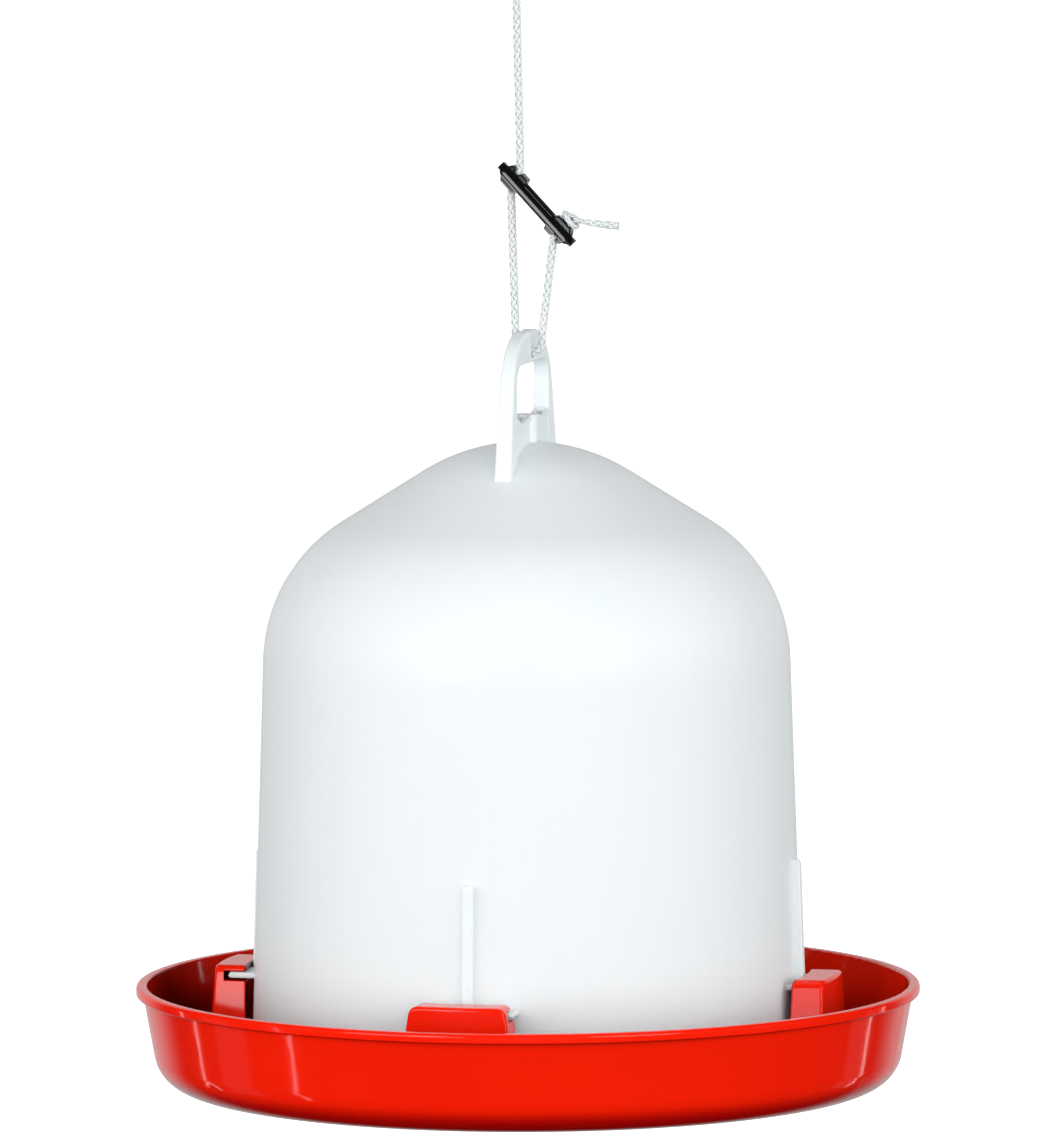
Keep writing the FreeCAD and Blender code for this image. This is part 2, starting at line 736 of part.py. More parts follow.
def adjuster():
    """A bar with a slanting cord hole through each end, a boss round each hole and end nubs."""
    length, bar = S["toggle_length"], S["toggle_round"]
    lying = Placement(Vector(-length.value / 2 + S["nub_length"].value, 0, 0),
                      Rotation(Vector(0, 1, 0), 90))
    parts = [cylinder("toggle_bar", bar, length - S["nub_length"] * 2, lying)]
    holes = []
    slant = Rotation(Vector(0, 1, 0), S["toggle_hole_lean"].value - S["toggle_tilt"].value)
    for end, name in ((-1, "upper"), (1, "lower")):
        deep = S["boss_deep"]
        parts.append(prism(f"boss_{name}", FRONT_PLANE, boss_outline(end), -deep, deep))
        nub_in = (length * 0.5 - S["nub_length"] * 1.6) * end
        nub_out = length * 0.5 * end
        nub = S["nub_half"]
        nub_corners = [(nub_in, -nub), (nub_out, -nub), (nub_out, nub), (nub_in, nub)]
        if end < 0:
            nub_corners = nub_corners[::-1]
        parts.append(prism(f"nub_{name}", FRONT_PLANE, nub_corners, -nub, nub))
        hole_length = S["boss_reach"] * 4
        middle = Vector(S["toggle_hole_offset"].value * end, 0, 0)
        mouth = Placement(middle - slant.multVec(UP) * (hole_length.value / 2), slant)
        holes.append(cylinder(f"toggle_hole_{name}", S["toggle_hole_radius"], hole_length, mouth))
    blank = fuse("toggle_blank", parts)
    drilled = cut("toggle_drilled", blank, fuse("toggle_holes", holes))
    tilted = doc.addObject("Part::Compound", "toggle_tilted")
    tilted.Links = [drilled]
    middle, _, _ = toggle_frame()
    tilted.Placement = Placement(middle, Rotation(Vector(0, 1, 0), S["toggle_tilt"].value))
    return finished("adjuster", tilted)


def cord_path():
    """The places that the cord passes, from its top end down and round to its free end."""
    middle, along, through = toggle_frame()
    hole = S["toggle_hole_offset"].value
    mouth = S["mouth_reach"].value
    upper, lower = middle - along * hole, middle + along * hole
    eye_low = S["cord_hole_height"].value
    eye_high = eye_low + S["eye_rise"].value
    left, right = S["left_leg_x"].value, S["right_leg_x"].value
    knot = lower + through * S["knot_offset"].value + along * S["knot_shift"].value
    return {
        "top": Vector(S["cord_end_x"].value, 0, S["cord_end_height"].value),
        "upper_in": upper + through * mouth,
        "upper_hole": upper,
        "upper_out": upper - through * mouth,
        "left_foot": Vector(left, 0, eye_high),
        "left_turn": Vector(left, 0, eye_low),
        "right_turn": Vector(right, 0, eye_low),
        "right_foot": Vector(right, 0, eye_high),
        "lower_in": lower - through * mouth,
        "lower_end": lower + through * S["boss_reach"].value,
        "knot": knot,
        "tail_turn": knot + Vector(S["tail_bend_x"].value, 0, -S["tail_bend_drop"].value),
        "tail": Vector(S["tail_x"].value, 0, S["tail_height"].value),
    }


def cord_run(points, bend):
    """A round cord along straight stretches, with each corner rounded to the bend radius."""
    edges = []
    start = points[0]
    for corner, after in zip(points[1:-1], points[2:]):
        back = (start - corner).normalize()
        ahead = (after - corner).normalize()
        half_turn = (math.pi - back.getAngle(ahead)) / 2
        setback = bend * math.tan(half_turn)
        first, last = corner + back * setback, corner + ahead * setback
        to_centre = (back + ahead).normalize()
        mid_arc = corner + to_centre * (bend / math.cos(half_turn) - bend)
        edges.append(Part.makeLine(start, first))
        edges.append(Part.Arc(first, mid_arc, last).toShape())
        start = last
    edges.append(Part.makeLine(start, points[-1]))
    spine = Part.Wire(edges)
    heading = (spine.Edges[0].valueAt(spine.Edges[0].LastParameter) - points[0]).normalize()
    ring = Part.Wire([Part.makeCircle(S["cord_radius"].value, points[0], heading)])
    return spine.makePipeShell([ring], True, False)


def soft_piece(label, shape):
    piece = doc.addObject("Part::Feature", label)
    piece.Shape = shape
    piece.Placement = Placement(Vector(), Rotation(UP, S["facing"].value))
    piece.Label = label
    return piece


def knot_and_tail(path):
    """The stopper knot beyond the toggle's lower hole, with the cord's free end."""
    ball = Part.makeSphere(1.0)
    swell = FreeCAD.Matrix()
    swell.scale(S["knot_along"].value, S["knot_deep"].value, S["knot_across"].value)
    knot = ball.transformGeometry(swell)
    knot.Placement = Placement(path["knot"], Rotation(Vector(0, 1, 0), S["toggle_tilt"].value))
    tail = cord_run([path["knot"], path["tail_turn"], path["tail"]], S["tail_bend"].value)
    return knot.fuse(tail).removeSplitter()


def cord():
    """The cord's stretches, split where the joints let it change its course."""
    path = cord_path()
    _, _, through = toggle_frame()
    gap = S["cord_gap"].value
    bend = S["cord_bend"].value
    upper_line = [path["top"], path["upper_in"], path["upper_hole"]]
    left_leg = [path["upper_hole"] - through * gap, path["upper_out"],
                path["left_foot"] + UP * gap]
    eye = [path["left_foot"], path["left_turn"], path["right_turn"], path["right_foot"]]
    right_leg = [path["right_foot"] + UP * gap, path["lower_in"], path["lower_end"] - through * gap]
    return [
        soft_piece("cord_upper_line", cord_run(upper_line, S["top_bend"].value)),
        soft_piece("cord_left_leg", cord_run(left_leg, bend)),
        soft_piece("cord_eye", cord_run(eye, S["eye_bend"].value)),
        soft_piece("cord_right_leg", cord_run(right_leg, bend)),
        soft_piece("cord_knot_tail", knot_and_tail(path)),
    ]


# ---------------------------------------------------------------- build, check and write

def check(pieces):
    doc.recompute()
    failed = [o.Name for o in doc.Objects if "Invalid" in o.State or "Error" in o.State]
    if failed:
        raise RuntimeError("these features failed: " + ", ".join(failed))
    for piece in pieces:
        shape = piece.Shape
        if shape.isNull() or not shape.isValid() or not shape.Solids:
            raise RuntimeError(f"{piece.Label} has no sound solid")


def write(pieces):
    os.makedirs("parts", exist_ok=True)
    for piece in pieces:
        piece.Shape.exportStep(f"parts/{piece.Label}.step")
        solids = piece.Shape.Solids
        litres = sum(s.Volume for s in solids) / 1e6
        print(f"{piece.Label}: {len(solids)} solid, {litres:.4f} litres of material")


pieces = [reservoir(), tray(), adjuster()] + cord()
check(pieces)
write(pieces)
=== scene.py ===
"""Looks of the hanging poultry drinker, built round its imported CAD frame.  Lengths are in metres.

The white fount and the red tray keep their CAD shapes.  The toggle is softened from its CAD
shape, with a rounder front to its bar.  The cord is built here as a real eight-strand braid: one
continuous course from its top end, through the toggle and the handle and back, to its stopper
knot and cut end.
"""
import json
import math

import bpy
import numpy as np
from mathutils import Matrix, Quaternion, Vector


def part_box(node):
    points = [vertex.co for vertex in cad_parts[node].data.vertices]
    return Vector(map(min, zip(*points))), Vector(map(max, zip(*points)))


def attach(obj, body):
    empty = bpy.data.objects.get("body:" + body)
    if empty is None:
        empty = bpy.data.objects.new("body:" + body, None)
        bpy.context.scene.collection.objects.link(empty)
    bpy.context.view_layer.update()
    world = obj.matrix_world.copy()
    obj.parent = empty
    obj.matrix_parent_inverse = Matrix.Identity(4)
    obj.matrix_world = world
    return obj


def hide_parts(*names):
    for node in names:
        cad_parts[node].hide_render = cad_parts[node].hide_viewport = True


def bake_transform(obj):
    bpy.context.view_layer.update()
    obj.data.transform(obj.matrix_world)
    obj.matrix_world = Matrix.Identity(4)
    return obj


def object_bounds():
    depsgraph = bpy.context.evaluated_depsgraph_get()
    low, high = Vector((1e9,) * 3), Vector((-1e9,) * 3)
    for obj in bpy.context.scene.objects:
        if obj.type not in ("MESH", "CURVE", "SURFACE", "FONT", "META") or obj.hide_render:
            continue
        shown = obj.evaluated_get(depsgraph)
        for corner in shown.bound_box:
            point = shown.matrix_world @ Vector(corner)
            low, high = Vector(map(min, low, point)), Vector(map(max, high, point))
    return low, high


MM = 0.001

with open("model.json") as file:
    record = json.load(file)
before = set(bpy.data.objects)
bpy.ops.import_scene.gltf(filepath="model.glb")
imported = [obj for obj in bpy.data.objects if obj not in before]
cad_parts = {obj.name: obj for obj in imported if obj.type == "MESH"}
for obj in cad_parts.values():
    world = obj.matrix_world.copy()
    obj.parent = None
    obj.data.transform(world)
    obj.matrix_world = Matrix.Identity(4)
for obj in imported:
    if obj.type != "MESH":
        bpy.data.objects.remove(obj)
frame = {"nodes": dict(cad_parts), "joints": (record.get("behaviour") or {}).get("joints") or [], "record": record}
cad_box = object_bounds()
record = frame["record"]


# ---------------------------------------------------------------- places, from the frame

def joint(name):
    return next(j for j in frame["joints"] if j["name"] == name)


def centre(node_name):
    low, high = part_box(node_name)
    return (low + high) / 2


SWING = joint("fount_swing")
HANDLE_HOLE = Vector(SWING["pos_m"])
ACROSS_PLATE = Vector(SWING["axis"]).normalized()      # level, through the handle plate
ALONG_PLATE = Vector((0, 0, 1)).cross(ACROSS_PLATE)    # level, along the handle plate, to the back
UP = Vector((0, 0, 1))

TOGGLE_TILT = math.radians(47.0)                       # of the toggle's bar, down to the right
HOLE_LEAN = math.radians(22.0)                         # of its cord holes, from upright
TOGGLE_HOLE = 14.9 * MM                                # from its middle to each cord hole
TOGGLE_MIDDLE = centre("adjuster")
BAR = ACROSS_PLATE * math.cos(TOGGLE_TILT) - UP * math.sin(TOGGLE_TILT)
THROUGH = ACROSS_PLATE * math.sin(HOLE_LEAN) + UP * math.cos(HOLE_LEAN)
OUT_OF_BAR = ACROSS_PLATE * math.sin(TOGGLE_TILT) + UP * math.cos(TOGGLE_TILT)
UPPER_HOLE = TOGGLE_MIDDLE - BAR * TOGGLE_HOLE
LOWER_HOLE = TOGGLE_MIDDLE + BAR * TOGGLE_HOLE


# ---------------------------------------------------------------- shader helpers

def node(tree, kind, inputs=None, **settings):
    """Adds a shader node, sets its properties, and sets or links its inputs."""
    made = tree.nodes.new(kind)
    for key, value in settings.items():
        setattr(made, key, value)
    for socket, value in (inputs or {}).items():
        if isinstance(value, bpy.types.NodeSocket):
            tree.links.new(value, made.inputs[socket])
        else:
            made.inputs[socket].default_value = value
    return made


def math_node(tree, operation, first, second=0.0):
    return node(tree, "ShaderNodeMath", {0: first, 1: second}, operation=operation).outputs[0]


def remap(tree, value, low, high):
    """A 0 to 1 value spread between low and high."""
    spread = node(tree, "ShaderNodeMapRange", {"Value": value, "To Min": low, "To Max": high})
    return spread.outputs["Result"]


def eased(tree, value, start, end, before, after):
    """before where value is under start, after where it is over end, and smooth between."""
    spread = node(tree, "ShaderNodeMapRange",
                  {"Value": value, "From Min": start, "From Max": end, "To Min": before,
                   "To Max": after}, interpolation_type="SMOOTHSTEP")
    return spread.outputs["Result"]


def blend_values(tree, share, first, second):
    return node(tree, "ShaderNodeMix", {"Factor": share, "A": first, "B": second}).outputs[0]


def mix_colour(tree, share, first, second):
    mixed = node(tree, "ShaderNodeMix", {"Factor": share, "A": first, "B": second}, data_type="RGBA")
    for socket in mixed.inputs:
        if socket.type == "RGBA" and socket.name in "AB":
            value = first if socket.name == "A" else second
            if isinstance(value, bpy.types.NodeSocket):
                tree.links.new(value, socket)
            else:
                socket.default_value = value
    return next(s for s in mixed.outputs if s.type == "RGBA")


def noise(tree, place, scale, detail=2.0, stretch=(1, 1, 1)):
    """Noise whose grain is 1 / scale metres, stretched along the axes given."""
    mapping = node(tree, "ShaderNodeMapping", {"Vector": place, "Scale": stretch})
    grain = node(tree, "ShaderNodeTexNoise",
                 {"Vector": mapping.outputs[0], "Scale": scale, "Detail": detail})
    return grain.outputs["Fac"]


def bump(tree, height, distance, strength=1.0, normal=None):
    inputs = {"Height": height, "Distance": distance, "Strength": strength}
    if normal is not None:
        inputs["Normal"] = normal
    return node(tree, "ShaderNodeBump", inputs).outputs["Normal"]


def soft_edges(tree, radius):
    """The normal of a surface whose sharp edges are worn round to this radius."""
    return node(tree, "ShaderNodeBevel", {"Radius": radius}, samples=6).outputs["Normal"]


def openness(tree, reach, samples):
    """1 on an open surface, and less where others crowd it within this reach."""
    return node(tree, "ShaderNodeAmbientOcclusion", {"Distance": reach}, samples=samples).outputs["AO"]


def empty_material(name):
    material = bpy.data.materials.new(name)
    material.use_nodes = True
    material.node_tree.nodes.clear()
    return material, material.node_tree


def finish_material(tree, **inputs):
    """Closes a material with one principled surface.  Underscores in names stand for spaces."""
    surface = node(tree, "ShaderNodeBsdfPrincipled",
                   {key.replace("_", " "): value for key, value in inputs.items()})
    node(tree, "ShaderNodeOutputMaterial", {"Surface": surface.outputs[0]})


# ---------------------------------------------------------------- materials

FOUNT_DULL, FOUNT_CLEAR = (0.82, 0.88, 0.9, 1), (0.865, 0.915, 0.935, 1)
FOUNT_LIMB_PAINTED_SHADE = (0.6, 0.66, 0.66, 1)                      # painted shade where its side is seen at a low angle
TRAY_DULL, TRAY_CLEAR = (0.88, 0.009, 0.001, 1), (0.95, 0.016, 0.0015, 1)
TRAY_RECESS_PAINTED_SHADE = (0.035, 0.0002, 0.0001, 1)               # painted shade, deep between the wall and the bell
# painted shade on faces turned down to the underside
TRAY_UNDERSIDE_PAINTED_SHADE = (0.5, 0.002, 0.0005, 1)
TRAY_BOUNCE = (0.3, 0.08, 0.07, 1)                     # what the tray throws on the white bell
TOGGLE_BLACK, TOGGLE_WORN = (0.002, 0.0022, 0.0025, 1), (0.004, 0.0045, 0.005, 1)
YARN_DULL, YARN_CLEAR = (0.72, 0.77, 0.785, 1), (0.9, 0.925, 0.93, 1)
# painted shade in the crevices between the strands
YARN_CREVICE_PAINTED_SHADE = (0.42, 0.47, 0.48, 1)


def fount_plastic():
    """Milky bluish-white polypropylene with a satin skin, faint upright flow lines, and painted shade at its limb.
    """
    material, tree = empty_material("fount_plastic")
    place = node(tree, "ShaderNodeTexCoord").outputs["Object"]
    cloud = noise(tree, place, 9.0, 3.0)
    flow = noise(tree, place, 160.0, 3.0, stretch=(1, 1, 0.04))
    grain = noise(tree, place, 900.0, 2.0)
    shade = math_node(tree, "ADD", math_node(tree, "MULTIPLY", cloud, 0.6),
                      math_node(tree, "MULTIPLY", flow, 0.4))
    colour = mix_colour(tree, shade, FOUNT_DULL, FOUNT_CLEAR)
    # Painted shade: the colour darkens towards the limb, where the side is seen at a low angle.
    edge = node(tree, "ShaderNodeLayerWeight", {"Blend": 0.5}).outputs["Facing"]
    colour = mix_colour(tree, eased(tree, edge, 0.8, 1.0, 0.0, 0.3), colour, FOUNT_LIMB_PAINTED_SHADE)
    skin = bump(tree, flow, 0.05 * MM, 0.25, soft_edges(tree, 0.5 * MM))
    skin = bump(tree, grain, 0.02 * MM, 0.3, skin)
    finish_material(tree, Base_Color=colour, Roughness=remap(tree, grain, 0.33, 0.43),
                    IOR=1.49, Normal=skin, Subsurface_Weight=0.25,
                    Subsurface_Radius=(1.0, 1.1, 1.2), Subsurface_Scale=4 * MM)
    return material


def tray_plastic():
    """Glossy orange-red polypropylene with a slight ripple in its reflections.

    Painted shade darkens the inside of the wall, the more the deeper it lies, and painted shade darkens the turn
    to the underside."""
    material, tree = empty_material("tray_plastic")
    coords = node(tree, "ShaderNodeTexCoord").outputs
    place, facing = coords["Object"], coords["Normal"]
    cloud = noise(tree, place, 14.0, 2.0)
    ripple = noise(tree, place, 55.0, 2.0)
    grain = noise(tree, place, 1400.0, 2.0)
    colour = mix_colour(tree, cloud, TRAY_DULL, TRAY_CLEAR)

    # Painted shade: the inside of the wall and crowded recesses darken towards the recess colour, and their
    # reflections weaken there.
    spoke = node(tree, "ShaderNodeVectorMath", {0: place, 1: (1, 1, 0)}, operation="MULTIPLY")
    outward = node(tree, "ShaderNodeVectorMath", {0: spoke.outputs[0], 1: facing},
                   operation="DOT_PRODUCT").outputs["Value"]
    open_air = openness(tree, 45 * MM, 6)
    lit = math_node(tree, "MAXIMUM", eased(tree, open_air, 0.68, 1.0, 0.0, 1.0),
                    eased(tree, outward, -0.1, -0.02, 0.0, 1.0))
    colour = mix_colour(tree, lit, TRAY_RECESS_PAINTED_SHADE, colour)
    # Painted shade on faces that turn down to the underside.
    slope = node(tree, "ShaderNodeSeparateXYZ", {0: facing}).outputs["Z"]
    colour = mix_colour(tree, eased(tree, slope, -0.75, -0.3, 0.0, 1.0), TRAY_UNDERSIDE_PAINTED_SHADE, colour)
    bounced = node(tree, "ShaderNodeLightPath").outputs["Is Diffuse Ray"]
    colour = mix_colour(tree, bounced, colour, TRAY_BOUNCE)

    skin = bump(tree, ripple, 0.12 * MM, 0.35, soft_edges(tree, 0.7 * MM))
    skin = bump(tree, grain, 0.01 * MM, 0.3, skin)
    finish_material(tree, Base_Color=colour, Roughness=remap(tree, grain, 0.06, 0.11), IOR=1.49,
                    Specular_IOR_Level=remap(tree, lit, 0.12, 0.5), Normal=skin)
    return material


def toggle_plastic():
    """Glossy black moulded plastic with fine wear."""
    material, tree = empty_material("toggle_plastic")
    place = node(tree, "ShaderNodeTexCoord").outputs["Object"]
    grain = noise(tree, place, 2200.0, 3.0)
    wear = noise(tree, place, 350.0, 4.0)
    colour = mix_colour(tree, wear, TOGGLE_BLACK, TOGGLE_WORN)
    skin = bump(tree, grain, 0.02 * MM, 0.25)
    finish_material(tree, Base_Color=colour, Roughness=remap(tree, wear, 0.08, 0.14),
                    IOR=1.5, Normal=skin)
    return material


def braid_yarn():
    """White filament yarn with painted shade between the strands, and fine fibres along each strand.

    The fibres follow the strand's own UV map, which is in mm."""
    material, tree = empty_material("braid_yarn")
    place = node(tree, "ShaderNodeUVMap", uv_map="strand").outputs["UV"]
    fibres = noise(tree, place, 1.0, 3.0, stretch=(0.35, 9.0, 1))
    patches = noise(tree, place, 0.35, 2.0)
    shade = math_node(tree, "ADD", math_node(tree, "MULTIPLY", fibres, 0.7),
                      math_node(tree, "MULTIPLY", patches, 0.3))
    colour = mix_colour(tree, shade, YARN_DULL, YARN_CLEAR)
    # Painted shade: the crevices between the strands are greyed.
    open_air = openness(tree, 0.9 * MM, 4)
    colour = mix_colour(tree, eased(tree, open_air, 0.3, 0.9, 0.0, 1.0), YARN_CREVICE_PAINTED_SHADE, colour)
    skin = bump(tree, fibres, 0.12 * MM, 0.7)
    finish_material(tree, Base_Color=colour, Roughness=0.62, IOR=1.5, Normal=skin,
                    Sheen_Weight=0.25, Sheen_Roughness=0.4,
                    Subsurface_Weight=0.2, Subsurface_Radius=(1.0, 1.0, 1.0),
                    Subsurface_Scale=1 * MM)
    return material


def wear_material(piece, material):
    piece.data.materials.clear()
    piece.data.materials.append(material)


# ---------------------------------------------------------------- the toggle

TOGGLE_VOXEL = 0.2 * MM
SMOOTH_PASSES = 12
WELD_GAP = 0.001 * MM
SPINE_RADIUS = 3.1 * MM
SPINE_HALF = 21.0 * MM      # from the toggle's middle to the start of each round end
SPINE_SIDES = 32
SPINE_FORWARD = 1.5 * MM    # how far the spine's axis stands in front of the bar's
SPINE_DOWN = 0.2 * MM
# The spine's round end: places along its axis and the size there, both as shares of its radius.
SPINE_END = [(-1, 0.01), (-0.92, 0.4), (-0.7, 0.72), (-0.38, 0.93), (0, 1.0)]


def spine_shape(middle, along, out):
    """A round-ended rod, as points and faces, that runs nearly from end to end of the toggle."""
    sideways = along.cross(out)
    end_rings = [(-SPINE_HALF + SPINE_RADIUS * place, size) for place, size in SPINE_END]
    rings = end_rings + [(-place, size) for place, size in reversed(end_rings)]
    points, faces = [], []
    for place, size in rings:
        for k in range(SPINE_SIDES):
            turn = 2 * math.pi * k / SPINE_SIDES
            spoke = out * math.cos(turn) + sideways * math.sin(turn)
            points.append(middle + along * place + spoke * SPINE_RADIUS * size)
    for ring in range(len(rings) - 1):
        for k in range(SPINE_SIDES):
            a, b = ring * SPINE_SIDES + k, ring * SPINE_SIDES + (k + 1) % SPINE_SIDES
            faces.append((a, b, b + SPINE_SIDES, a + SPINE_SIDES))
    last = (len(rings) - 1) * SPINE_SIDES
    faces.append(tuple(reversed(range(SPINE_SIDES))))
    faces.append(tuple(range(last, last + SPINE_SIDES)))
    return points, faces


def grown_together(name, source, extra_points, extra_faces):
    """A CAD shape and an extra one as one skin, with every edge slightly round."""
    points = [v.co.copy() for v in source.data.vertices]
    faces = [tuple(face.vertices) for face in source.data.polygons]
    base = len(points)
    points += extra_points
    faces += [tuple(base + i for i in face) for face in extra_faces]
    mesh = bpy.data.meshes.new(name)
    mesh.from_pydata(points, [], faces)
    piece = bpy.data.objects.new(name, mesh)
    bpy.context.scene.collection.objects.link(piece)
    weld = piece.modifiers.new("weld", "WELD")
    weld.merge_threshold = WELD_GAP
    remesh = piece.modifiers.new("remesh", "REMESH")
    remesh.mode = "VOXEL"
    remesh.voxel_size = TOGGLE_VOXEL
    smooth = piece.modifiers.new("smooth", "SMOOTH")
    smooth.factor = 0.5
    smooth.iterations = SMOOTH_PASSES
    bpy.context.view_layer.update()
    evaluated = piece.evaluated_get(bpy.context.evaluated_depsgraph_get())
    piece.data = bpy.data.meshes.new_from_object(evaluated)
    piece.modifiers.clear()
    piece.data.shade_smooth()
    return piece


def build_toggle():
    """The toggle's bar has a rounder front than in CAD, so its gleam runs on across the bosses."""
    middle = TOGGLE_MIDDLE - ALONG_PLATE * SPINE_FORWARD - OUT_OF_BAR * SPINE_DOWN
    spine_points, spine_faces = spine_shape(middle, BAR, -ALONG_PLATE)
    piece = grown_together("toggle_body", frame["nodes"]["adjuster"], spine_points, spine_faces)
    wear_material(piece, toggle_plastic())
    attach(piece, "toggle")
    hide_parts("adjuster")
    return piece


# ---------------------------------------------------------------- the cord's course

CORD_RADIUS = 2.05 * MM
BOSS_REACH = 4.9 * MM       # from the bar's axis, along a hole, to the top of its boss
MOUTH = 6.1 * MM            # where the cord leaves a hole's axis, from the bar's axis
BEND = 2.6 * MM
TOP_BEND = 12.0 * MM        # the cord hangs straight and taut above this soft turn
EYE_BEND = 4.4 * MM
STEP = 0.5 * MM             # length of cord between two rings of the mesh
TAIL_SAG = 0.3 * MM

# The overhand knot's course beyond the toggle's lower hole, in mm: along the bar, level
# through it, and out from the boss.  The end leads away above the turn that it is tucked through.
KNOT = [
    (0.2, 0.1, 1.2),
    (0.9, 0.3, 3.0),
    (3.2, 1.9, 4.4),
    (6.0, 2.2, 3.4),
    (7.5, 0.2, 2.1),
    (6.4, -2.2, 1.9),
    (3.8, -3.1, 2.1),
    (1.0, -2.0, 2.5),
    (-0.9, 0.4, 2.6),
    (1.6, 2.6, 2.2),
    (4.2, 2.1, 1.7),
    (5.0, 0.3, 2.4),
    (5.2, -0.9, 4.1),
    (6.4, -1.0, 5.2),
    (7.6, -0.5, 6.2),
]


def cord_top_end():
    mount = next(m for m in record["mounts"] if m["name"] == "cord_top")
    return Vector(mount["pos_m"]) + Vector(mount["axis"]) * mount["dims"]["length_mm"] * MM / 2


def eye_feet():
    """The tops of the eye's two sides, where the legs of the cord begin."""
    low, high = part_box("cord_eye")
    slant = ACROSS_PLATE.x
    left, right = (low.x + CORD_RADIUS) / slant, (high.x - CORD_RADIUS) / slant
    return ACROSS_PLATE * left + UP * high.z, ACROSS_PLATE * right + UP * high.z


def tail_end():
    """The middle of the cord's cut end."""
    low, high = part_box("cord_knot_tail")
    return ACROSS_PLATE * (high.x / ACROSS_PLATE.x) + UP * (low.z + CORD_RADIUS)


def straight(start, end):
    count = max(1, round((end - start).length / STEP))
    return [start.lerp(end, k / count) for k in range(count)]


def swung(first, last, share):
    """A spoke part of the way round from first to last, which are equally long."""
    whole = first.angle(last)
    return (first * math.sin((1 - share) * whole) + last * math.sin(share * whole)) / math.sin(whole)


def rounded(corners, bends):
    """Points along straight stretches whose corners are rounded, the last corner left out."""
    course = []
    start = corners[0]
    for corner, after, bend in zip(corners[1:-1], corners[2:], bends):
        back, ahead = (start - corner).normalized(), (after - corner).normalized()
        half_turn = (math.pi - back.angle(ahead)) / 2
        setback = bend * math.tan(half_turn)
        first, last = corner + back * setback, corner + ahead * setback
        hub = corner + (back + ahead).normalized() * (bend / math.cos(half_turn))
        spoke_in, spoke_out = first - hub, last - hub
        count = max(2, round(2 * half_turn * bend / STEP))
        course += straight(start, first)
        course += [hub + swung(spoke_in, spoke_out, k / count) for k in range(count)]
        start = last
    return course + straight(start, corners[-1])


def spline(points):
    """A smooth course through all points but the first and last, which only steer it."""
    course = []
    for before, start, end, after in zip(points, points[1:], points[2:], points[3:]):
        count = max(2, round((end - start).length / STEP))
        for k in range(count):
            t = k / count
            pull_in, pull_out = (end - before) / 2, (after - start) / 2
            course.append(start * (1 - 3 * t**2 + 2 * t**3) + end * (3 * t**2 - 2 * t**3)
                          + pull_in * (t - 2 * t**2 + t**3) + pull_out * (t**3 - t**2))
    return course


def cord_course():
    """The cord's centre line, and how many of its points lie before each split between pieces."""
    left_foot, right_foot = eye_feet()
    left_turn, right_turn = left_foot.copy(), right_foot.copy()
    left_turn.z = right_turn.z = HANDLE_HOLE.z
    lower_mouth = LOWER_HOLE + THROUGH * BOSS_REACH
    knot = [lower_mouth + (BAR * a + ALONG_PLATE * d + OUT_OF_BAR * c) * MM for a, d, c in KNOT]
    end = tail_end()
    sag = knot[-1].lerp(end, 0.5) - UP * TAIL_SAG

    parts = [
        rounded([cord_top_end(), UPPER_HOLE + THROUGH * MOUTH, UPPER_HOLE], [TOP_BEND]),
        rounded([UPPER_HOLE, UPPER_HOLE - THROUGH * MOUTH, left_foot], [BEND]),
        rounded([left_foot, left_turn, right_turn, right_foot], [EYE_BEND, EYE_BEND]),
        rounded([right_foot, LOWER_HOLE - THROUGH * MOUTH, LOWER_HOLE], [BEND]),
        spline([LOWER_HOLE - THROUGH * MM, LOWER_HOLE, lower_mouth] + knot
               + [sag, end, end + (end - sag)]) + [end],
    ]
    return [p for part in parts for p in part], np.cumsum([len(part) for part in parts])


# ---------------------------------------------------------------- the braid

STRANDS = 8                 # half of them wind each way
LAY = 18.0 * MM             # length of cord in which a strand goes once round
STRAND_PITCH = 1.25 * MM    # a strand's usual distance from the cord's middle
WEAVE = 0.36 * MM           # how far a strand rides out to pass over another
STRAND_HALF_WIDTH = 0.9 * MM
STRAND_HALF_DEPTH = 0.5 * MM
STRAND_SIDES = 10
CORE_RADIUS = 1.25 * MM
CORE_SIDES = 12
STRAND_GIRTH = 4.6          # the UV map's width round a strand, in mm
STRAND_SHIFT = 37.0         # how far the UV map moves along from strand to strand, in mm
KNOT_SQUEEZE = 0.7          # share of the cord's size that is left inside the tight knot
KNOT_TIGHTENS = 6.0         # mm of cord over which it gets that tight
TAIL_FLARE = 1.06           # how much the cut end is frayed wider
TAIL_END = 2.0              # mm of cord at the end that keep their full size and fray
TAIL_SWELL = 0.6            # share of the tail over which it swells back to full size


def unit(rows):
    return rows / np.linalg.norm(rows, axis=1, keepdims=True)


def carried_frames(course):
    """Directions at each point of the course, and two more square to it that never twist."""
    ahead = unit(np.gradient(course, axis=0))
    first = np.array(ALONG_PLATE)
    side = np.empty_like(ahead)
    side[0] = first - ahead[0] * (first @ ahead[0])
    for k in range(1, len(course)):
        side[k] = side[k - 1] - ahead[k] * (side[k - 1] @ ahead[k])
        side[k] /= np.linalg.norm(side[k])
    return ahead, side, np.cross(ahead, side)


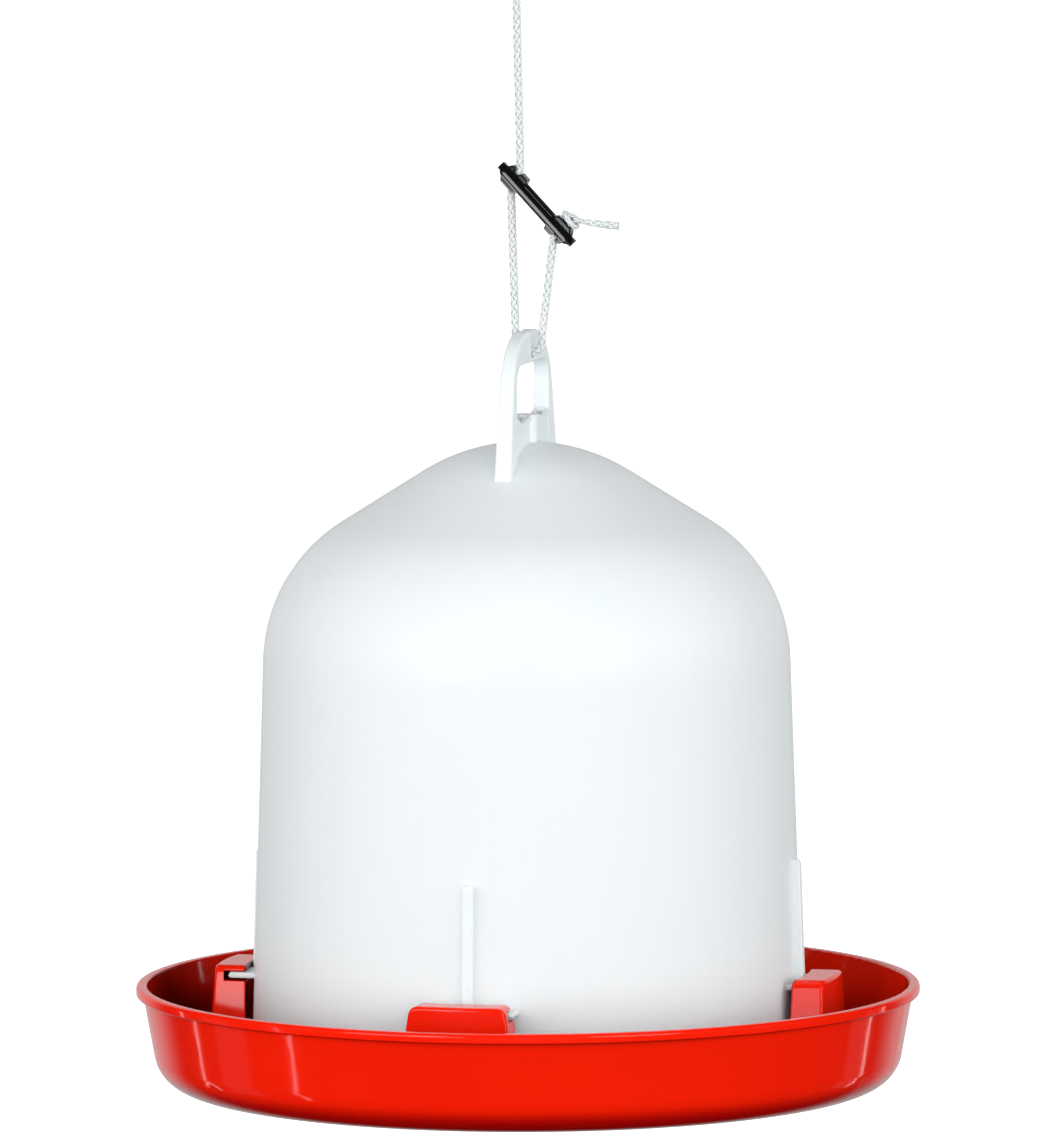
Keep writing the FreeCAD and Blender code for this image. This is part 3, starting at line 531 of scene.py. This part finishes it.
def tube(spine, out, half_depth, half_width, sides, travelled):
    """Vertices, faces and UVs (in mm) of a closed tube; out is its thin direction at each ring."""
    heading = unit(np.gradient(spine, axis=0))
    out = unit(out - heading * np.sum(out * heading, axis=1, keepdims=True))
    across = np.cross(heading, out)
    turn = np.arange(sides) * 2 * math.pi / sides
    rings = (spine[:, None] + out[:, None] * (half_depth[:, None] * np.cos(turn))[..., None]
             + across[:, None] * (half_width[:, None] * np.sin(turn))[..., None])
    count = len(spine)
    faces, uvs = [], []
    for k in range(count - 1):
        here, beyond = k * sides, (k + 1) * sides
        for j in range(sides):
            after = (j + 1) % sides
            faces.append((here + j, here + after, beyond + after, beyond + j))
            v, w = j / sides * STRAND_GIRTH, (j + 1) / sides * STRAND_GIRTH
            uvs += [(travelled[k], v), (travelled[k], w), (travelled[k + 1], w), (travelled[k + 1], v)]
    faces.append(tuple(range(sides))[::-1])
    faces.append(tuple((count - 1) * sides + j for j in range(sides)))
    uvs += [(travelled[0], 0.0)] * sides + [(travelled[-1], 0.0)] * sides
    return rings.reshape(-1, 3), faces, uvs


def braid_piece(name, course, frames, travelled, size, first, last):
    """One piece of the cord, from ring first to ring last: a core with the strands round it."""
    ahead, side, other = (rows[first:last + 1] for rows in frames)
    middle = course[first:last + 1]
    gone = travelled[first:last + 1]
    scale = size[first:last + 1]
    round_core = CORE_RADIUS * scale
    tubes = [tube(middle, side, round_core, round_core, CORE_SIDES, gone / MM)]
    turn_rate = 2 * math.pi / LAY
    half = STRANDS // 2
    for strand in range(STRANDS):
        way = 1 if strand < half else -1
        number = strand % half
        angle = way * gone * turn_rate + number * 2 * math.pi / half
        meeting = 2 * gone * turn_rate + way * number * 2 * math.pi / half
        over = way * (-1) ** number * np.cos(meeting * half / 2)
        out = side * np.cos(angle)[:, None] + other * np.sin(angle)[:, None]
        spine = middle + out * ((STRAND_PITCH + WEAVE * over) * scale)[:, None]
        tubes.append(tube(spine, out, STRAND_HALF_DEPTH * scale, STRAND_HALF_WIDTH * scale,
                          STRAND_SIDES, gone / MM + strand * STRAND_SHIFT))
    verts, faces, uvs = [], [], []
    for ring_verts, ring_faces, ring_uvs in tubes:
        base = sum(len(v) for v in verts)
        verts.append(ring_verts)
        faces += [tuple(base + i for i in face) for face in ring_faces]
        uvs += ring_uvs
    mesh = bpy.data.meshes.new(name)
    mesh.from_pydata(np.concatenate(verts).tolist(), [], faces)
    layer = mesh.uv_layers.new(name="strand")
    layer.data.foreach_set("uv", np.array(uvs, np.float32).ravel())
    mesh.shade_smooth()
    piece = bpy.data.objects.new(name, mesh)
    bpy.context.scene.collection.objects.link(piece)
    return piece


def cord_sizes(course, travelled, knot_start):
    """The cord's size at each ring: squeezed in the knot, and swelling to its cut end."""
    size = np.ones(len(course))
    from_knot = (travelled - travelled[knot_start]) / MM
    squeeze = np.clip(from_knot / KNOT_TIGHTENS, 0, 1)
    tail_length = (Vector(course[-1]) - LOWER_HOLE).length / MM
    to_end = (travelled[-1] - travelled) / MM
    swell = np.clip(1 - (to_end - TAIL_END) / (tail_length * TAIL_SWELL), 0, 1)
    flare = np.clip(1 - to_end / TAIL_END, 0, 1) * (TAIL_FLARE - 1)
    return size + squeeze * (KNOT_SQUEEZE - 1) * (1 - swell) + flare


def build_cord():
    points, splits = cord_course()
    course = np.array(points, float)
    travelled = np.concatenate([[0], np.cumsum(np.linalg.norm(np.diff(course, axis=0), axis=1))])
    frames = carried_frames(course)
    size = cord_sizes(course, travelled, splits[3])
    names = ["braid_upper_line", "braid_left_leg", "braid_eye", "braid_right_leg", "braid_knot_tail"]
    stands_for = ["cord_upper_line", "cord_left_leg", "cord_eye", "cord_right_leg", "cord_knot_tail"]
    starts = [0, *splits[:-1]]
    ends = [*splits[:-1], len(course) - 1]
    yarn = braid_yarn()
    pieces = []
    for name, node_name, start, end in zip(names, stands_for, starts, ends):
        piece = braid_piece(name, course, frames, travelled, size, start, end)
        wear_material(piece, yarn)
        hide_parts(node_name)
        pieces.append(piece)
    upper_line, left_leg, eye, right_leg, knot_tail = pieces
    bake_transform(upper_line)
    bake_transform(left_leg)
    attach(eye, "cord_loop")
    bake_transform(right_leg)
    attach(knot_tail, "toggle")


# ---------------------------------------------------------------- floor, light and camera

FLOOR_HEIGHT = -0.45
FLOOR_SIZE = 80
FLOOR_GLOW = 1.1
FRONT_LIGHT = 0.55
SIDE_LIGHT = 0.3
BACKDROP_LIGHT = 0.3
CEILING_LIGHT = 0.12
FRONT_GLOSS = 0.02          # what glossy reflections see of the studio in front
BACK_GLOSS = 0.6            # and straight behind


def lay_floor():
    """A pale floor far below the hanging drinker.  The camera sees it, but it neither tints the
    drinker nor blocks the lamps below its edge."""
    bpy.ops.mesh.primitive_plane_add(size=FLOOR_SIZE, location=(0, 0, FLOOR_HEIGHT))
    floor = bpy.context.object
    floor.name = "floor"
    material, tree = empty_material("pale_floor")
    matt = node(tree, "ShaderNodeBsdfDiffuse", {"Color": (0.9, 0.9, 0.9, 1)})
    glow = node(tree, "ShaderNodeEmission", {"Color": (1, 1, 1, 1), "Strength": FLOOR_GLOW})
    both = node(tree, "ShaderNodeAddShader", {0: matt.outputs[0], 1: glow.outputs[0]})
    node(tree, "ShaderNodeOutputMaterial", {"Surface": both.outputs[0]})
    wear_material(floor, material)
    floor.visible_diffuse = False
    floor.visible_glossy = False
    floor.visible_shadow = False


def surround_with_studio():
    """White to the camera.  To the drinker it is a studio with bright front and side walls, a
    white backdrop lit low down behind it, and a dark ceiling.  Its glossy reflections see only
    the backdrop, not the part that is well below it."""
    world = bpy.data.worlds.new("studio")
    bpy.context.scene.world = world
    world.use_nodes = True
    tree = world.node_tree
    tree.nodes.clear()
    direction = node(tree, "ShaderNodeTexCoord").outputs["Generated"]
    split = node(tree, "ShaderNodeSeparateXYZ", {0: direction})
    depth, height = split.outputs["Y"], split.outputs["Z"]
    ray = node(tree, "ShaderNodeLightPath")

    wall = eased(tree, depth, -0.85, 0.1, FRONT_LIGHT, SIDE_LIGHT)
    above = blend_values(tree, eased(tree, height, 0.4, 0.85, 0.0, 1.0), wall, CEILING_LIGHT)
    front = math_node(tree, "MULTIPLY", above, eased(tree, height, -0.45, -0.05, 0.15, 1.0))
    back = eased(tree, height, -0.05, 0.15, BACKDROP_LIGHT, CEILING_LIGHT)
    matt = blend_values(tree, eased(tree, depth, -0.1, 0.4, 0.0, 1.0), front, back)
    shine = eased(tree, depth, 0.66, 0.9, FRONT_GLOSS, BACK_GLOSS)
    shine = math_node(tree, "MULTIPLY", shine, eased(tree, height, -0.8, -0.5, 0.1, 1.0))

    unseen = blend_values(tree, ray.outputs["Is Glossy Ray"], matt, shine)
    seen = blend_values(tree, ray.outputs["Is Camera Ray"], unseen, 1.0)
    light = node(tree, "ShaderNodeBackground", {"Color": (1, 1, 1, 1), "Strength": seen})
    node(tree, "ShaderNodeOutputWorld", {"Surface": light.outputs[0]})


MIDDLE = Vector((0, 0, cad_box[1].z * 0.4))            # of the fount and tray, where lamps aim


def softbox(name, azimuth, elevation, distance, width, height, radiance, glossy=True, aim=MIDDLE):
    """A rectangular lamp aimed at the drinker; azimuth 0 is the front, positive to the right."""
    a, e = math.radians(azimuth), math.radians(elevation)
    lamp = bpy.data.lights.new(name, "AREA")
    lamp.shape = "RECTANGLE"
    lamp.size, lamp.size_y = width, height
    lamp.energy = radiance * math.pi * width * height
    box = bpy.data.objects.new(name, lamp)
    away = Vector((math.sin(a) * math.cos(e), -math.cos(a) * math.cos(e), math.sin(e)))
    box.location = aim + away * distance
    box.rotation_euler = away.to_track_quat("Z", "Y").to_euler()
    box.visible_glossy = glossy
    box.visible_camera = False
    bpy.context.scene.collection.objects.link(box)
    return box


def not_for(lamp, piece):
    """Keeps a lamp's light off one piece."""
    group = bpy.data.collections.new(f"unlit_by_{lamp.name}")
    group.objects.link(piece)
    group.collection_objects[0].light_linking.link_state = "EXCLUDE"
    lamp.light_linking.receiver_collection = group


def only_for(lamp, piece):
    """Keeps a lamp's light for one piece."""
    group = bpy.data.collections.new(f"lit_by_{lamp.name}")
    group.objects.link(piece)
    lamp.light_linking.receiver_collection = group


def light_studio():
    """Two softboxes in front, broad fills that leave no gleam, panels and strips below the
    horizon that the tray's leaning wall mirrors, and gleams for the toggle and the hooks."""
    toggle, tray = bpy.data.objects["toggle_body"], frame["nodes"]["tray"]
    not_for(softbox("key_left", -39, 13, 2.2, 1.1, 1.1, 2.45), toggle)
    not_for(softbox("key_right", 31, 13, 2.2, 1.0, 1.1, 2.5), toggle)
    softbox("fill_front", -5, -5, 2.4, 1.6, 1.2, 2.2, glossy=False)
    softbox("fill_left", -68, 8, 2.2, 1.2, 1.4, 2.9, glossy=False)
    softbox("fill_right", 68, 8, 2.2, 1.2, 1.4, 3.5, glossy=False)
    softbox("fill_above", 0, 62, 2.2, 1.4, 0.8, 2.4, glossy=False)
    softbox("back_left", -158, 12, 2.2, 1.2, 1.4, 2.2, glossy=False)
    softbox("back_right", 158, 12, 2.2, 1.2, 1.4, 2.2, glossy=False)
    softbox("panel_left", -101, -19, 2.2, 0.5, 1.2, 0.15)
    softbox("strip_left_near", -76, -22, 2.2, 0.02, 1.2, 8.0)
    softbox("strip_left_far", -118.2, -16, 2.2, 0.03, 1.2, 4.5)
    softbox("panel_right", 118, -16, 2.2, 0.35, 1.2, 0.15)
    softbox("strip_right", 123.8, -16, 2.2, 0.04, 1.2, 3.5)
    only_for(softbox("toggle_gleam", -46, -29, 1.2, 1.1, 1.1, 7.0, aim=TOGGLE_MIDDLE), toggle)
    only_for(softbox("toggle_edge_gleam", 60, 52, 2.0, 0.4, 0.4, 4.0, aim=TOGGLE_MIDDLE), toggle)
    only_for(softbox("hook_sheen", -26, 8, 2.2, 0.6, 0.8, 1.9), tray)


CAMERA_LENS = 420.0
CAMERA_SENSOR = 36.0
CAMERA_ELEVATION = math.radians(5.62)
CAMERA_DISTANCE = 5.765
CAMERA_ROLL = math.radians(-0.21)
CAMERA_AIM = Vector((-0.0007, 0, 0.2423))


def place_camera():
    """A long lens in front, a little above the drinker, as a catalogue picture has."""
    lens = bpy.data.cameras.new("catalogue_lens")
    lens.lens = CAMERA_LENS
    lens.sensor_width = CAMERA_SENSOR
    lens.sensor_fit = "HORIZONTAL"
    lens.clip_end = 200.0
    camera = bpy.data.objects.new("catalogue_camera", lens)
    away = Vector((0, -math.cos(CAMERA_ELEVATION), math.sin(CAMERA_ELEVATION)))
    camera.location = CAMERA_AIM + away * CAMERA_DISTANCE
    camera.rotation_mode = "QUATERNION"
    camera.rotation_quaternion = Quaternion(away, CAMERA_ROLL) @ away.to_track_quat("Z", "Y")
    bpy.context.scene.collection.objects.link(camera)
    bpy.context.scene.camera = camera


# ---------------------------------------------------------------- build

wear_material(frame["nodes"]["reservoir"], fount_plastic())
wear_material(frame["nodes"]["tray"], tray_plastic())
build_toggle()
build_cord()
lay_floor()
surround_with_studio()
light_studio()
place_camera()
bpy.context.scene.view_settings.view_transform = "Standard"

bpy.context.view_layer.update()
